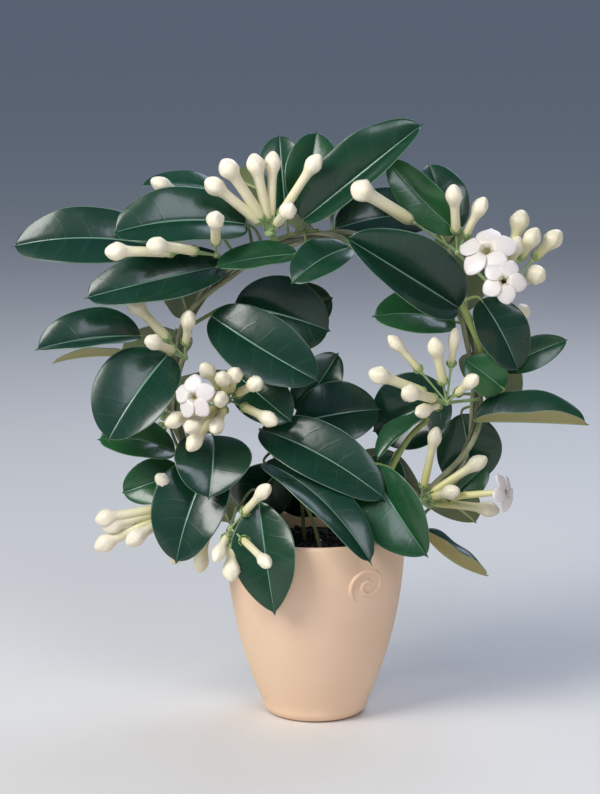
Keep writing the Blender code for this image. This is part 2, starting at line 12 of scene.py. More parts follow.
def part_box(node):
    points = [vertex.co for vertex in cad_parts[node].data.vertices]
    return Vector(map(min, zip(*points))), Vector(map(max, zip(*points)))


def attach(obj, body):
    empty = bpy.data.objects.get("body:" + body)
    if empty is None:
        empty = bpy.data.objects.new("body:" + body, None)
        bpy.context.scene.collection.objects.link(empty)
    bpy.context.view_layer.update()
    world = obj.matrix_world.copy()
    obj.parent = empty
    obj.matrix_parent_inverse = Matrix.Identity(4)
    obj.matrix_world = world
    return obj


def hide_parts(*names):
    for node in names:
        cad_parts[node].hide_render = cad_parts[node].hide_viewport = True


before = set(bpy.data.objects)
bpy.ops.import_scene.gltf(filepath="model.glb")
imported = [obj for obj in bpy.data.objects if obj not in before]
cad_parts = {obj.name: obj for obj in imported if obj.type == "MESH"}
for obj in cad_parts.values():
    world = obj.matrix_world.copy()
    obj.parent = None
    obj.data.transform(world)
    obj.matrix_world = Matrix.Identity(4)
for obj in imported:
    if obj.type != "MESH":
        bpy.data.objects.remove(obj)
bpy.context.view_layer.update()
scene = bpy.context.scene
MM = 0.001

# Camera
# The photograph looks from the front and a little above, through a long lens from 1.8 m away.
CAMERA_PLACE = (-0.0112, -1.7545, 0.5401)
CAMERA_DOWN = math.radians(9.95)
bpy.ops.object.camera_add(location=CAMERA_PLACE, rotation=(math.pi / 2 - CAMERA_DOWN, 0, 0))
scene.camera = bpy.context.object
scene.camera.data.lens = 112.4
scene.camera.data.sensor_width = 36


# Floor and light
# A plain pale floor, one large soft lamp from the left, weaker ones from the front and the right
# and a cool one from behind, under a pale cool sky that the glossy leaves mirror.
def linear(hex_colour):
    """An sRGB colour such as 'E5C9AE' as linear RGBA."""
    values = [int(hex_colour[i:i + 2], 16) / 255 for i in (0, 2, 4)]
    return [v / 12.92 if v <= 0.04045 else ((v + 0.055) / 1.055) ** 2.4 for v in values] + [1.0]


def feed(node, inputs):
    """Give a node's inputs a value, a hex colour, an output, or a node whose output they read."""
    for name, value in inputs.items():
        if isinstance(value, bpy.types.Node):
            value = next(output for output in value.outputs if output.enabled)
        if isinstance(value, bpy.types.NodeSocket):
            node.id_data.links.new(value, node.inputs[name])
        else:
            node.inputs[name].default_value = linear(value) if isinstance(value, str) else value


def new_finish(name, hex_colour, roughness):
    """A material of one colour and roughness, for its section to build on."""
    made = bpy.data.materials.new(name)
    made.use_nodes = True
    shader = made.node_tree.nodes["Principled BSDF"]
    feed(shader, {"Base Color": hex_colour, "Roughness": roughness})
    return made, made.node_tree, shader


def add(tree, kind, inputs, **settings):
    """Add a node with its settings, and feed its inputs."""
    node = tree.nodes.new("ShaderNode" + kind)
    for name, value in settings.items():
        setattr(node, name, value)
    feed(node, inputs)
    return node


FLOOR_SIZE = 120
FLOOR_DROP = 0.2 * MM
bpy.ops.mesh.primitive_plane_add(size=FLOOR_SIZE, location=(0, 0, -FLOOR_DROP))
floor = bpy.context.object
floor.name = "floor"
floor.data.materials.append(new_finish("pale_floor_paint", "DDDAD4", 0.7)[0])

# Each lamp: name, place, width in metres, power in watts, colour.
LAMPS = (
    ("key_lamp", (-1.42, -1.18, 1.62), 1.1, 50, "FFFDFA"),
    ("window_lamp", (0.42, -1.6, 1.4), 0.8, 12, "EEF1FF"),
    ("fill_lamp", (1.5, -1.2, 0.6), 1.2, 2.5, "FFD2A8"),
    ("back_lamp", (0.7, 1.15, 1.6), 1.1, 16, "DDE9FF"),
)
AIM = Vector((0, 0, 0.22))
for name, place, width, power, hex_colour in LAMPS:
    bpy.ops.object.light_add(type="AREA", location=place)
    lamp = bpy.context.object
    lamp.name = name
    lamp.data.size = width
    lamp.data.energy = power
    lamp.data.color = linear(hex_colour)[:3]
    lamp.rotation_euler = (AIM - Vector(place)).to_track_quat("-Z", "Y").to_euler()

world = bpy.data.worlds.new("pale_sky")
world.use_nodes = True
feed(world.node_tree.nodes["Background"], {"Color": "A9BEE0", "Strength": 0.32})
scene.world = world
scene.view_settings.view_transform = "Standard"


# Pot
# One cachepot of cream stoneware, slip-cast and glazed matt. Its side curves in to a small flat
# foot, and a little scroll stands in low relief under the rim, right of the front.
POT_HEIGHT = 136 * MM
RIM_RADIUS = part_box("pot")[1].x
FOOT_RADIUS = 31 * MM
FOOT_ROUNDING = 8 * MM
FOOT_RING = 4 * MM
FOOT_HOLLOW = 0.8 * MM
WALL = 5 * MM
POT_FLOOR = 7 * MM
SIDE_TAPER = 30 * MM
SIDE_POWER = 2.1
POT_SIDES = 128
SIDE_RINGS = 26


def choose(*items):
    """Select these objects alone, the first one active, or with none deselect everything."""
    bpy.ops.object.select_all(action="DESELECT")
    for item in items:
        item.select_set(True)
    if items:
        bpy.context.view_layer.objects.active = items[0]


def join(item, others):
    """Join other pieces into this one."""
    choose(item, *others)
    bpy.ops.object.join()


def turn_up(name, profile, sides):
    """A body turned round the Z axis: a disc, drawn out ring by ring through (radius, height)."""
    choose()
    radius, height = profile[0]
    bpy.ops.mesh.primitive_circle_add(vertices=sides, radius=radius, fill_type="NGON",
                                      location=(0, 0, height))
    made = bpy.context.object
    made.name = name
    bpy.ops.object.transform_apply(location=True)
    bpy.ops.object.mode_set(mode="EDIT")
    bpy.ops.mesh.select_all(action="SELECT")
    for wide, high in profile[1:]:
        bpy.ops.mesh.extrude_region_move(TRANSFORM_OT_translate={"value": (0, 0, high - height)})
        share = wide / radius
        bpy.ops.transform.resize(value=(share, share, 1), center_override=(0, 0, high))
        radius, height = wide, high
    bpy.ops.mesh.select_all(action="SELECT")
    bpy.ops.mesh.normals_make_consistent(inside=False)
    bpy.ops.object.mode_set(mode="OBJECT")
    bpy.ops.object.shade_smooth_by_angle(angle=math.radians(40))
    return made


def pot_radius(height):
    """Radius of the pot's outer side at a height."""
    return RIM_RADIUS - SIDE_TAPER * (1 - height / POT_HEIGHT) ** SIDE_POWER


def arc(centre, radius, first, last, steps):
    """Points of (radius, height) on a round corner, by angles in degrees from straight out."""
    angles = [math.radians(first + (last - first) * i / steps) for i in range(steps + 1)]
    return [(centre[0] + radius[0] * math.cos(a), centre[1] + radius[1] * math.sin(a)) for a in angles]


# The pot's profile, from the middle of its foot up its side, over its lip and down its inside.
hollow = FOOT_RADIUS - FOOT_RING
corner = pot_radius(FOOT_ROUNDING) - FOOT_RADIUS
lip = WALL / 2
pot_profile = [(hollow - 3 * MM, FOOT_HOLLOW), (hollow - 0.6 * MM, FOOT_HOLLOW)]
pot_profile += [(hollow, 0.1 * MM), (hollow + 0.4 * MM, 0), (FOOT_RADIUS - 0.3 * MM, 0)]
pot_profile += arc((FOOT_RADIUS, FOOT_ROUNDING), (corner, FOOT_ROUNDING), -86, 0, 9)
for i in range(1, SIDE_RINGS):
    h = FOOT_ROUNDING + (POT_HEIGHT - lip - FOOT_ROUNDING) * i / SIDE_RINGS
    pot_profile.append((pot_radius(h), h))
pot_profile += arc((RIM_RADIUS - lip, POT_HEIGHT - lip), (lip, lip), 0, 180, 10)
for i in range(1, SIDE_RINGS):
    h = POT_HEIGHT - lip - (POT_HEIGHT - lip - POT_FLOOR - FOOT_ROUNDING) * i / SIDE_RINGS
    pot_profile.append((pot_radius(h) - WALL, h))
inner = pot_radius(POT_FLOOR + FOOT_ROUNDING) - WALL - FOOT_ROUNDING
pot_profile += arc((inner, POT_FLOOR + FOOT_ROUNDING), (FOOT_ROUNDING, FOOT_ROUNDING), 0, -90, 6)
pot = turn_up("glazed_pot", pot_profile, POT_SIDES)

SCROLL_TURN = math.radians(36)
SCROLL_HEIGHT = 106 * MM
SCROLL_WIDE = 16 * MM
SCROLL_TALL = 13.5 * MM
SCROLL_TURNS = 1.65
SCROLL_THICK = 1.8 * MM
SCROLL_STEPS = 80
SCROLL_SINK = 0.3 * MM
# The scroll's inner end lies at this share of its reach, and both its ends taper to TIP_SHARE of
# its thickness.
SCROLL_INNER = 0.1
TIP_SHARE = 0.4


def bezier(a, b, c, d, steps):
    """Points of a cubic curve, both ends included."""
    found = []
    for i in range(steps + 1):
        t = i / steps
        s = 1 - t
        found.append(a * s ** 3 + b * 3 * s * s * t + c * 3 * s * t * t + d * t ** 3)
    return found


def smooth_path(points, steps):
    """A smooth curve through the points, each stretch in so many steps."""
    found = [points[0]]
    for i in range(len(points) - 1):
        before = points[max(i - 1, 0)]
        after = points[min(i + 2, len(points) - 1)]
        a, b = points[i], points[i + 1]
        found += bezier(a, a + (b - before) / 6, b - (after - a) / 6, b, steps)[1:]
    return found


def sweep(name, runs, sides):
    """One mesh of round rods, each given by its points and its radius at each of them."""
    curve = bpy.data.curves.new(name, "CURVE")
    curve.dimensions = "3D"
    curve.bevel_depth = MM
    curve.bevel_resolution = (sides - 4) // 2
    curve.use_fill_caps = True
    for points, radii in runs:
        spline = curve.splines.new("POLY")
        spline.points.add(len(points) - 1)
        for knot, place, radius in zip(spline.points, points, radii):
            knot.co = (*place, 1)
            knot.radius = radius / MM
    made = bpy.data.objects.new(name, curve)
    scene.collection.objects.link(made)
    choose(made)
    bpy.ops.object.convert(target="MESH")
    made = bpy.context.object
    made.data.shade_smooth()
    return made


scroll_path = []
scroll_radii = []
for i in range(SCROLL_STEPS + 1):
    share = i / SCROLL_STEPS
    reach = SCROLL_INNER + (1 - SCROLL_INNER) * share
    angle = SCROLL_TURNS * math.tau * share
    height = SCROLL_HEIGHT + SCROLL_TALL * reach * math.sin(angle)
    radius = pot_radius(height) - SCROLL_SINK
    turn = SCROLL_TURN + SCROLL_WIDE * reach * math.cos(angle) / radius
    scroll_path.append(Vector((radius * math.sin(turn), -radius * math.cos(turn), height)))
    scroll_radii.append(SCROLL_THICK * min(1, TIP_SHARE + 0.1 * min(i, SCROLL_STEPS - i)))
scroll = sweep("pot_scroll", [(scroll_path, scroll_radii)], 12)
join(pot, [scroll])


def mottle(tree, place, scale, detail, dark, light):
    """The patchy ground colour of a finish, a mix of two tones, and the noise that mixes them."""
    patch = add(tree, "TexNoise", {"Vector": place["Object"], "Scale": scale, "Detail": detail})
    return add(tree, "Mix", {0: patch, 6: dark, 7: light}, data_type="RGBA"), patch


# Slip-cast stoneware under a matt glaze: light spreads softly over it, with no sharp glint. The
# glaze is a little uneven in tone over a few centimetres, and carries faint iron specks.
glaze, tree, shader = new_finish("matt_cream_stoneware_glaze", "E8CDB4", 0.5)
place = add(tree, "TexCoord", {}).outputs
tint, _ = mottle(tree, place, 22, 3, "E2BE9A", "F0D1B5")
SPECK_SPACING = 5 * MM
cell = add(tree, "TexVoronoi", {"Vector": place["Object"], "Scale": 1 / SPECK_SPACING})
fleck = add(tree, "MapRange", {"Value": cell, "From Min": 0.05, "From Max": 0.09, "To Min": 0.12,
                               "To Max": 0})
speckled = add(tree, "Mix", {0: fleck, 6: tint, 7: "A98A6C"}, data_type="RGBA")
grain = add(tree, "TexNoise", {"Vector": place["Object"], "Scale": 420, "Detail": 4})
rough = add(tree, "MapRange", {"Value": grain, "To Min": 0.42, "To Max": 0.6})
relief = add(tree, "Bump", {"Height": grain, "Strength": 0.12, "Distance": 0.3 * MM})
feed(shader, {"Base Color": speckled, "Roughness": rough, "Normal": relief})
pot.data.materials.clear()
pot.data.materials.append(glaze)
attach(pot, "root")
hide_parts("pot")


# Soil
# Dark peat that fills the pot to just under its rim. Its top is lumpy, with crumbs of peat and a
# few pale grains of perlite lying on it.
SOIL_TOP = 123 * MM
SOIL_GAP = 0.3 * MM
SOIL_SIDES = 96
SOIL_RINGS = 22
SIDE_STEPS = 8
LUMP = 2.2 * MM
LUMP_SPACING = 9 * MM
CRUMBS = 420
PERLITE = 16
CRUMB_MARGIN = 3 * MM
CRUMB_ROUGHNESS = 0.35
chance = random.Random(7)

soil_profile = [(inner, POT_FLOOR + SOIL_GAP)]
for i in range(SIDE_STEPS + 1):
    h = POT_FLOOR + FOOT_ROUNDING + (SOIL_TOP - POT_FLOOR - FOOT_ROUNDING) * i / SIDE_STEPS
    soil_profile.append((pot_radius(h) - WALL - SOIL_GAP, h))
edge = soil_profile[-1][0]
soil_profile += [(edge * (1 - i / SOIL_RINGS), SOIL_TOP) for i in range(1, SOIL_RINGS)]
soil = turn_up("peat_fill", soil_profile, SOIL_SIDES)


def peat_height(x, y):
    """Height of the lumpy top of the peat at a place."""
    spot = Vector((x, y, 0)) / LUMP_SPACING
    rise = noise.noise(spot) + 0.5 * noise.noise(spot * 2.7) + 0.25 * noise.noise(spot * 6.1)
    return SOIL_TOP + LUMP * rise


for vert in soil.data.vertices:
    if vert.co.z > SOIL_TOP - 0.1 * MM and vert.co.xy.length < edge - MM:
        vert.co.z = peat_height(vert.co.x, vert.co.y)

# Peat, dug and dried: near-black brown fibre that hardly shines.
peat, tree, shader = new_finish("dug_peat", "1B130D", 0.95)
place = add(tree, "TexCoord", {}).outputs
tint, fibre = mottle(tree, place, 350, 6, "040302", "16100B")
relief = add(tree, "Bump", {"Height": fibre, "Strength": 0.9, "Distance": MM})
feed(shader, {"Base Color": tint, "Normal": relief})
perlite = new_finish("puffed_perlite", "CFC8BB", 0.9)[0]


def copy_of(pattern, name):
    """A new object that has its own copy of a pattern's mesh."""
    made = bpy.data.objects.new(name, pattern.data.copy())
    scene.collection.objects.link(made)
    return made


crumbs = []
# Each kind of crumb: its finish, their number, and their least and greatest size in mm.
for look, number, small, large in ((peat, CRUMBS, 1.0, 2.6), (perlite, PERLITE, 0.8, 1.5)):
    choose()
    bpy.ops.mesh.primitive_ico_sphere_add(subdivisions=1, radius=1)
    lump = bpy.context.object
    for vert in lump.data.vertices:
        vert.co *= 1 + CRUMB_ROUGHNESS * noise.noise(vert.co * 1.7)
    lump.data.materials.append(look)
    for _ in range(number):
        crumb = copy_of(lump, "crumb")
        away = (edge - CRUMB_MARGIN) * math.sqrt(chance.random())
        turn = chance.uniform(0, math.tau)
        x, y = away * math.cos(turn), away * math.sin(turn)
        size = chance.uniform(small, large) * MM
        spin = [chance.uniform(0, math.tau) for _ in range(3)]
        crumb.scale = (size, size * 0.8, size * 0.6)
        crumb.rotation_euler = spin
        crumb.location = (x, y, peat_height(x, y) + 0.2 * size)
        crumbs.append(crumb)
    bpy.data.objects.remove(lump)
soil.data.materials.clear()
soil.data.materials.append(peat)
join(soil, crumbs)
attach(soil, "root")
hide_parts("soil")


# Hoop
# A ring of steel wire in a dull green plastic coat. Its two ends are bent down as legs and stand
# in the peat.
HOOP_X = 8 * MM
HOOP_Z = 239 * MM
HOOP_RADIUS = 109 * MM
HOOP_END = 152
HOOP_STEPS = 150
LEG_OUT = 36 * MM
LEG_FOOT = 60 * MM
BEND = 12 * MM
WIRE_RADIUS = 1.6 * MM


def on_hoop(clock, side=0.0, away=0.0):
    """A point at a clock angle of the hoop, off its wire by away towards a side of it."""
    c, s = math.radians(clock), math.radians(side)
    outward = Vector((math.sin(c), 0, math.cos(c)))
    centre = Vector((HOOP_X, 0, HOOP_Z))
    return centre + outward * (HOOP_RADIUS + away * math.cos(s)) + Vector((0, -away * math.sin(s), 0))


ring = [on_hoop(HOOP_END * (2 * i / HOOP_STEPS - 1)) for i in range(HOOP_STEPS + 1)]
legs = []
for side, end, near in ((-1, ring[0], ring[1]), (1, ring[-1], ring[-2])):
    foot_x = HOOP_X + side * LEG_OUT
    top = Vector((foot_x, 0, SOIL_TOP - 2 * MM))
    out = (end - near).normalized()
    bent = bezier(end, end + out * BEND, top + Vector((0, 0, BEND)), top, 10)[1:]
    legs.append(bent + [Vector((foot_x, 0, LEG_FOOT))])
wire_path = list(reversed(legs[0])) + ring + legs[1]
hoop = sweep("coated_wire_hoop", [(wire_path, [WIRE_RADIUS] * len(wire_path))], 12)

# PVC-dipped steel wire: dull green, dimmed by handling, with a soft shine.
coat, tree, shader = new_finish("dipped_pvc_coat", "5C6148", 0.45)
place = add(tree, "TexCoord", {}).outputs
tint, _ = mottle(tree, place, 160, 4, "474D36", "6E7356")
feed(shader, {"Base Color": tint})
hoop.data.materials.append(coat)
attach(hoop, "root")
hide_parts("hoop")


# Twining stems
# Two woody stems come up from the peat on either side and twine round the wire, which they hide
# with their turns.
STEM_RADIUS = 1.6 * MM
PIECE_GAP = 0.3 * MM
# The turns slant across the wire by this angle, which takes a little more room.
STEM_SLANT = math.radians(20)
STEM_HELIX = (WIRE_RADIUS + 1.5 * PIECE_GAP + STEM_RADIUS) / math.cos(STEM_SLANT)
STEM_TWIST = 6.4
STEM_STEP = 1.5
# Shares by which the bark swells past the stem's nominal radius: at its root, and at its knots.
BARK_SWELL = 0.3
KNOT_SWELL = 0.12
ROOT_DEPTH = 60
# Each stem: its root (right, front, up, in mm), its first and last clock angles on the hoop, and
# the side of the wire that it starts on, in degrees from the outside towards the front.
STEMS = {
    "stem_left": ((-20, 9, ROOT_DEPTH), -146, 128, 90),
    "stem_right": ((34, -9, ROOT_DEPTH), 146, -104, 270),
}


def point(right, front, up):
    """A point given in mm to the right, to the front and up."""
    return Vector((right, -front, up)) * MM


# Young bark: thin olive grey-brown cork over green, dull and finely uneven, with paler pores a
# millimetre or two apart.
bark, tree, shader = new_finish("young_twig_bark", "7F8266", 0.7)
place = add(tree, "TexCoord", {}).outputs
tint, patch = mottle(tree, place, 130, 5, "6A6C4E", "B2B48F")
pore = add(tree, "TexVoronoi", {"Vector": place["Object"], "Scale": 550})
spot = add(tree, "MapRange", {"Value": pore, "From Min": 0.15, "From Max": 0.3, "To Min": 0.6, "To Max": 0})
pored = add(tree, "Mix", {0: spot, 6: tint, 7: "B7B497"}, data_type="RGBA")
relief = add(tree, "Bump", {"Height": patch, "Strength": 0.6, "Distance": 0.6 * MM})
feed(shader, {"Base Color": pored, "Normal": relief})

for node, (root, first, last, side_first) in STEMS.items():
    way = 1 if last > first else -1
    steps = round(abs(last - first) / STEM_STEP)
    helix = []
    for i in range(steps + 1):
        clock = first + (last - first) * i / steps
        helix.append(on_hoop(clock, side_first + STEM_TWIST * (clock - first), STEM_HELIX))
    foot = point(*root)
    collar = Vector((foot.x, foot.y, SOIL_TOP + 3 * MM))
    step = 6 * way
    ahead = on_hoop(first + step, side_first + STEM_TWIST * step, STEM_HELIX)
    out = (helix[0] - ahead).normalized()
    rise = bezier(collar, collar + Vector((0, 0, BEND)), helix[0] + out * BEND, helix[0], 14)
    path = [foot] + rise[:-1] + helix
    count = len(path) - 1
    radii = []
    for i in range(count + 1):
        knot = KNOT_SWELL * noise.noise(path[i] * 160)
        radii.append(STEM_RADIUS * (1 + BARK_SWELL * (1 - (i / count) ** 3) + knot))
    stem = sweep("twining_" + node, [(path, radii)], 12)
    stem.data.materials.append(bark)
    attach(stem, "root")
    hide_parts(node)


# Leafy shoots
# Each is a green shoot that lies against a woody stem, with its leaves on short round stalks. A
# blade is a thick glossy oval with a small point, folded along its midrib and a little wavy.
SHOOT_RADIUS = 1.4 * MM
SHOOT_HELIX = STEM_HELIX + STEM_RADIUS + PIECE_GAP / 2 + SHOOT_RADIUS
BLADE_THICK = 0.8 * MM
STALK_RADIUS = 1.0 * MM
# The oval ends at this share of a blade's length, and the small point fills the rest.
OVAL_END = 0.965
POINT_WIDTH = 0.05
BLADE_ROWS = 30
POINT_ROWS = (0.975, 0.987, 1)
TAPER = 0.46
# Columns of a blade's half, as shares of its half width.
BLADE_COLUMNS = (0.04, 0.12, 0.28, 0.48, 0.68, 0.85, 0.96, 1)
MIDRIB_WIDTH = 1.1 * MM
MIDRIB_GROOVE = 0.35 * MM
MIDRIB_KEEL = 0.9 * MM
# The most that chance bows a blade sideways, droops its tip, both as shares of its length, and
# rolls it, in degrees.
MOST_BOW = 0.035
MOST_DROOP = 0.03
MOST_ROLL = 10
# Stout yellow-green new shoots, with their girth as a share of the others'.
NEW_GROWTH = {"shoot_right": 2.4, "shoot_soil_right": 1.8}

# A leaf's row: where its blade starts (right, front, up, in mm), the way it points (degrees
# clockwise from straight up as seen from the front, then degrees of lean towards the front),
# length and width in mm, the way its upper face looks (degrees to the right of the front, then
# degrees up), the rise of its middle in mm, the fold of its halves in degrees, and how far its
# green turns to yellow, from 0 to 1. Some have the blade's taper too, which is blunter below TAPER
# and tapers more above it, and some how far the under face is painted a pale tan, from 0 to 1.
# That tan is painted light: it stands in for light bounced up onto the leaf and shining through it.
# A shoot runs along the hoop (clock angle and side of the hoop at each end: 0 outside, 90 front,
# 180 inside, 270 back) or through points of its own (right, front, up, in mm).
SHOOTS = {
    "shoot_top_left": (("hoop", -50, 20, -24, 40), [
        (-49, 12, 358, -92, 12, 96, 50, 0, 40, 6, 20, 0.05, 0.34),
        (-112, -2, 341, -90, 0, 105, 48, 0, 38, 8, 12, 0),
        (-64, 14, 329.5, -101, 14, 103, 44, 0, 40, 6, 14, 0, 0.38),
        (-68, -22, 378, -85, -3, 58, 30, 0, 75, 4, 15, 0.1)]),
    "shoot_top": (("hoop", -21, 50, -3, 40), [
        (-9, 12, 361, 50, 4, 109, 52, -20, 29, 3, 35, 0.1, 0.42),
        (-7, -7, 364, 8, -14, 60, 42, 10, 10, 3, 20, 0.3),
        (-21, -13, 359, -5, -14, 62, 40, -10, 10, 3, 20, 0.1),
        (-13, 20, 338, -97, 12, 60, 32, 0, 62, 3, 12, 0.3)]),
    "shoot_top_inner": (("hoop", 3, 100, 14, 120), [
        (24, 14, 342, -118, 31, 55, 34, -20, 35, 4, 12, 0.1)]),
    "shoot_top_right": (("path", (66.8, 0, 334.7), (80, 2, 335), (92, 0, 340), (100, -1, 349)), [
        (100, 8, 352, -44, -3, 72, 30, -20, 15, 3, 14, 0.7),
        (99, -12, 350, -20, -18, 54, 38, 25, 5, 3, 20, 0.1)]),
    "shoot_right_inner": (("hoop", 51, 60, 63, 110), [
        (101, 15, 299, -56, 19, 104, 65, 9, 21, 6, 41, 0, 0.5),
        (99, 9, 288, -83, 18, 63, 38, -10, 38, 4, 14, 0.4)]),
    "shoot_right": (("hoop", 57, 60, 92, 40), [
        (118, 1, 303, 152, 4, 58, 40, 15, 10, 4, 15, 0),
        (134, -8, 251, 66, -4, 53, 24, 15, 20, 3, 10, 0.3, 0.6),
        (134, 9, 240, -52, 6, 36, 30, -10, 25, 3, 12, 0.7)]),
    "shoot_right_low": (("hoop", 80, 90, 106, 70), [
        (114, 15, 218, 92, 1, 81, 50, 0, 75, 2, 41, 0.1, 0.42, 1)]),
    "shoot_right_behind": (("hoop", 86, 250, 104, 270), [
        (97, -14, 230, -116, -6, 62, 58, -15, 15, 4, 14, 0),
        (106, -16, 217, 172, -14, 58, 50, 10, -5, 3, 14, 0.1)]),
    "shoot_soil_right": (("soil", (30, 12, 60), (31, 12, 124), (44, 15, 152), (52, 16, 178),
                          (66, 14, 204), (80, 12, 218)), [
        (39, 34, 187, 146, 23, 76, 54, -28, 8, 5, 26, 0.3, 0.55),
        (77, 14, 220, -129, 16, 46, 30, -65, 35, 3, 20, 0.3),
        (56, 4, 190, -155, -6, 60, 42, -10, 10, 3, 14, 0.1)]),
    "shoot_bottom_right": (("hoop", 122, 0, 142, 0), [
        (79, 6, 134, 124, 4, 56, 40, 92, 51, -5, 31, 0.1, 0.5, 1),
        (99, -8, 158, 49, -7, 35, 26, 0, 20, 2, 12, 0.4)]),
    "shoot_soil_centre": (("soil", (4, 18, 60), (4, 18, 124), (-5, 17, 152), (-22, 15, 180),
                           (-34, 11, 202), (-22, 4, 214)), [
        (-39, 18, 212, 116, 20, 105, 46, 10, 30, 7, 16, 0),
        (-36, 24, 189, 128, 32, 113, 38, 25, 47, 13, 18, 0, 0.38),
        (-14, 0, 213, 81, -4, 62, 48, 0, 25, 4, 14, 0)]),
    "shoot_soil_back": (("soil", (-8, -16, 60), (-8, -16, 124), (-11, -15, 170), (-14, -13, 208)), [
        (-13, -11, 220, 35, -7, 52, 34, -15, 5, 3, 14, 0.1),
        (-18, -20, 184, 60, -35, 70, 42, 180, 20, 5, 14, 0.2),
        (-24, -22, 177, 220, -18, 50, 46, 5, -5, 4, 14, 0),
        (-8, -27, 172, 172, -28, 46, 44, -10, -10, 3, 14, 0)]),
    "shoot_left_middle": (("hoop", -102, 100, -86, 120), [
        (-55, 10, 249, 127, 24, 52, 38, 8, 12, 3, 12, 0.1)]),
    "shoot_left_inner": (("path", (-86.5, 1, 286), (-77, 5, 292), (-68, 5, 297), (-57, 1, 298),
                          (-46, -6, 291)), [
        (-74, 14, 293, 119, 16, 91, 50, 8, 22, 5, 14, 0),
        (-58, 0, 299, 106, -4, 72, 56, 0, 12, 4, 12, 0),
        (-39, -12, 283, 70, -8, 56, 42, 0, 10, 3, 12, 0)]),
    "shoot_left": (("hoop", -98, 40, -68, 20), [
        (-125, 4, 277, -95, 12, 76, 46, 0, 52, 6, 32, 0),
        (-130, -8, 260.5, -94, 0, 60, 36, 0, 104, 3, 12, 0.4, 0.46, 0.8),
        (-105, 20, 266, -144, 22, 76, 64, -24, 12, 5, 18, 0)]),
    "shoot_left_low": (("hoop", -128, 80, -103, 0), [
        (-101, 8, 194, -78, 12, 57, 36, 0, 48, 5, 12, 0.5),
        (-97, -5, 176, -109, 2, 46, 34, -15, 20, 4, 14, 0.4),
        (-74, 22, 191, -160, 19, 79, 56, -10, 20, 5, 16, 0),
        (-73, 26, 209, -177, 42, 52, 56, 5, 55, 6, 12, 0)]),
    "shoot_bottom_left": (("hoop", -149, 100, -134, 80), [
        (-40, 56, 168, 172, 14, 81, 48, -14, 5, 4, 12, 0.1, 0.72)]),
    "shoot_back_top": (("hoop", -8, 270, 12, 270), [
        (-4, -18, 354, -62, -38, 84, 44, 180, 30, 5, 14, 0),
        (14, -14, 352, 84, -14, 80, 44, 0, 35, 5, 14, 0)]),
    "shoot_back_left": (("hoop", -72, 270, -54, 270), [
        (-92, -18, 292, -30, -45, 82, 44, 180, 25, 5, 14, 0.2),
        (-98, -18, 276, -140, -42, 84, 46, 190, 20, 5, 14, 0)]),
    "shoot_back_left_low": (("hoop", -124, 270, -106, 270), [
        (-92, -18, 192, -20, -55, 74, 42, 180, 30, 5, 14, 0),
        (-84, -18, 176, 160, -45, 80, 44, 180, 15, 5, 14, 0.3)]),
    "shoot_back_right": (("hoop", 50, 270, 82, 270), [
        (110, -20, 292, -20, -48, 84, 46, 180, 25, 5, 14, 0.1),
        (116, -18, 262, 150, -42, 82, 44, 170, 20, 5, 14, 0)]),
    "shoot_back_right_low": (("hoop", 126, 270, 148, 285), [
        (78, -22, 156, -75, -48, 76, 44, 180, 30, 5, 14, 0.2),
        (88, -20, 154, 130, -42, 58, 38, 170, 20, 5, 14, 0)]),
}


def direction(heading, lean):
    """A unit vector, heading degrees clockwise from up and leaning towards the front."""
    h, n = math.radians(heading), math.radians(lean)
    return Vector((math.sin(h) * math.cos(n), -math.sin(n), math.cos(h) * math.cos(n)))


def facing(right, up):
    """A unit vector that looks to the front, turned right and tipped up by these degrees."""
    r, u = math.radians(right), math.radians(up)
    return Vector((math.sin(r) * math.cos(u), -math.cos(r) * math.cos(u), math.sin(u)))


def shoot_path(route):
    """A shoot along the hoop, or through points of its own."""
    kind = route[0]
    if kind == "hoop":
        first, side_first, last, side_last = route[1:]
        steps = max(6, round(abs(last - first) / 2))
        found = []
        for i in range(steps + 1):
            t = i / steps
            side = side_first + (side_last - side_first) * t
            found.append(on_hoop(first + (last - first) * t, side, SHOOT_HELIX))
        return found
    points = [point(*p) for p in route[1:]]
    if kind == "soil":
        return [points[0]] + smooth_path(points[1:], 6)
    return smooth_path(points, 6)


def nearest(path, place):
    """The nearest point of a path to a place."""
    spots = []
    for a, b in zip(path, path[1:]):
        line = b - a
        t = min(1, max(0, (place - a).dot(line) / line.length_squared))
        spots.append(a + line * t)
    return min(spots, key=lambda spot: (place - spot).length)


def outline(t, taper=TAPER):
    """Half a blade's width at t along it, as a share of its greatest half width."""
    oval = t / OVAL_END
    body = math.sin(math.pi * oval ** 0.92) ** taper if 0 < oval < 1 else 0
    drawn_point = POINT_WIDTH * (1 - t) / (1 - OVAL_END) if t > 0.9 else 0
    return max(body, drawn_point)


def weld(item, distance):
    """Join the points of a piece that lie closer together than a distance."""
    choose(item)
    bpy.ops.object.mode_set(mode="EDIT")
    bpy.ops.mesh.select_all(action="SELECT")
    bpy.ops.mesh.remove_doubles(threshold=distance)
    bpy.ops.object.mode_set(mode="OBJECT")


def thicken(item, thickness, offset):
    """Give a sheet its thickness, half to each side with offset 0 and all outside with 1."""
    choose(item)
    solid = item.modifiers.new("thickness", "SOLIDIFY")
    solid.thickness = thickness
    solid.offset = offset
    bpy.ops.object.modifier_apply(modifier="thickness")
    item.data.shade_smooth()


